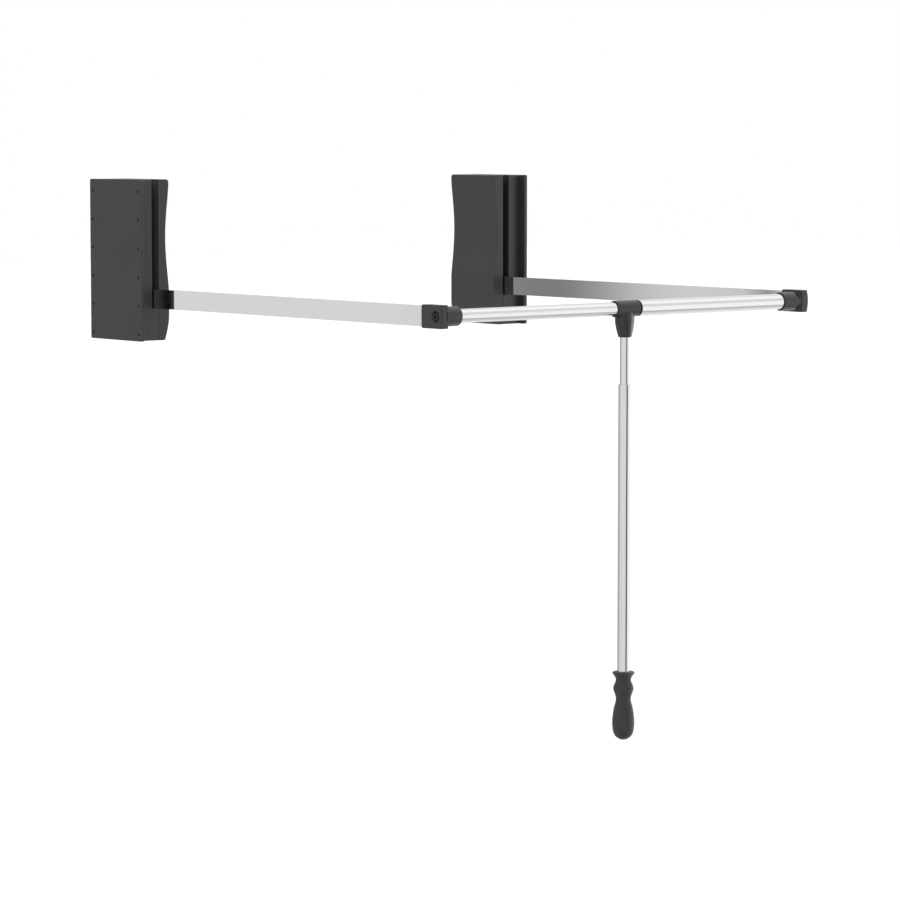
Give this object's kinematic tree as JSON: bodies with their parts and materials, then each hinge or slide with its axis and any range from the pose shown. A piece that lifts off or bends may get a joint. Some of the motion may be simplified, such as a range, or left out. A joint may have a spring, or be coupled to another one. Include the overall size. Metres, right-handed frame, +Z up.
{
  "type": "pull-down wardrobe rail",
  "caption": "Pull-down wardrobe rail: spring-lift housings on both side walls, flat swing arms, a telescopic hanging rail and a hanging pull rod with a grip.",
  "frame": {"origin": "on the left mounting face, where the arms' pivot axis meets it", "axes": "+X from the left housing to the right one, -Y towards the user, +Z up"},
  "size_m": [0.86, 0.9033, 0.8995],
  "materials": {
    "charcoal_plastic": "fine-textured moulded charcoal ABS",
    "black_plastic": "satin black",
    "chrome": "polished chrome plate",
    "steel": "zinc-plated steel",
    "spring_steel": "oiled spring wire",
    "rubber": "matt moulded rubber",
    "nylon": "natural nylon"
  },
  "bodies": {
    "left_housing": {"left_base_plate": "charcoal_plastic", "left_outer_shell": "charcoal_plastic", "left_inner_cover": "charcoal_plastic", "left_slot_plate": "charcoal_plastic", "left_pivot_axle": "steel", "left_shell_bush": "nylon", "left_plate_bush": "nylon", "left_lift_spring": "spring_steel", "left_spring_anchor": "steel", "left_damper_body": "black_plastic", "left_stop_bumper": "rubber", "left_cover_screw_1": "steel", "left_cover_screw_2": "steel", "left_cover_screw_3": "steel"},
    "right_housing": {"right_base_plate": "charcoal_plastic", "right_outer_shell": "charcoal_plastic", "right_inner_cover": "charcoal_plastic", "right_slot_plate": "charcoal_plastic", "right_pivot_axle": "steel", "right_shell_bush": "nylon", "right_plate_bush": "nylon", "right_lift_spring": "spring_steel", "right_spring_anchor": "steel", "right_damper_body": "black_plastic", "right_stop_bumper": "rubber", "right_cover_screw_1": "steel", "right_cover_screw_2": "steel", "right_cover_screw_3": "steel"},
    "left_arm": {"left_crank": "steel", "left_crank_pin": "steel", "left_arm_bar": "chrome", "left_rail_bracket": "charcoal_plastic", "left_rail_screw": "steel", "left_rail_plug": "nylon", "rail_inner_tube": "chrome", "rail_glide": "nylon"},
    "right_arm": {"right_crank": "steel", "right_crank_pin": "steel", "right_arm_bar": "chrome", "right_rail_bracket": "charcoal_plastic", "right_rail_screw": "steel", "right_rail_plug": "nylon", "rail_outer_tube": "chrome", "rail_bush": "black_plastic"},
    "left_yoke": {"left_yoke": "steel", "left_spring_guide_rod": "steel", "left_damper_rod": "steel"},
    "right_yoke": {"right_yoke": "steel", "right_spring_guide_rod": "steel", "right_damper_rod": "steel"},
    "pull_rod": {"tee_fitting": "charcoal_plastic", "tee_screw": "steel", "rod_inner_tube": "chrome", "rod_glide": "nylon"},
    "rod_sleeve": {"rod_outer_tube": "chrome", "rod_bush": "nylon", "handle": "charcoal_plastic"}
  },
  "joints": [
    {"name": "width_slide", "type": "slide", "parent": "left_housing", "child": "right_housing", "axis": [1, 0, 0], "range_m": [-0.008, 0.24]},
    {"name": "left_swing", "type": "hinge", "parent": "left_housing", "child": "left_arm", "pos_m": [0.03875, 0, 0], "axis": [-1, 0, 0], "range_deg": [0, 90]},
    {"name": "right_swing", "type": "hinge", "parent": "right_housing", "child": "right_arm", "pos_m": [0.82125, 0, 0], "axis": [-1, 0, 0], "range_deg": [0, 90]},
    {"name": "left_yoke_slide", "type": "slide", "parent": "left_housing", "child": "left_yoke", "axis": [0, 0, 1], "range_m": [-0.0256, 0], "deforming": ["left_lift_spring"]},
    {"name": "right_yoke_slide", "type": "slide", "parent": "right_housing", "child": "right_yoke", "axis": [0, 0, 1], "range_m": [-0.0256, 0], "deforming": ["right_lift_spring"]},
    {"name": "rod_swing", "type": "hinge", "parent": "right_arm", "child": "pull_rod", "pos_m": [0.427, -0.81, 0], "axis": [1, 0, 0], "range_deg": [-90, 90]},
    {"name": "rod_extend", "type": "slide", "parent": "pull_rod", "child": "rod_sleeve", "axis": [0, 0, -1], "range_m": [-0.07, 0.2]}
  ],
  "couplings": [
    {"joint": "right_swing", "follows": "left_swing", "ratio": 1},
    {"joint": "left_yoke_slide", "follows": "left_swing", "m_per_rad": -0.016206},
    {"joint": "right_yoke_slide", "follows": "left_swing", "m_per_rad": -0.016206}
  ]
}
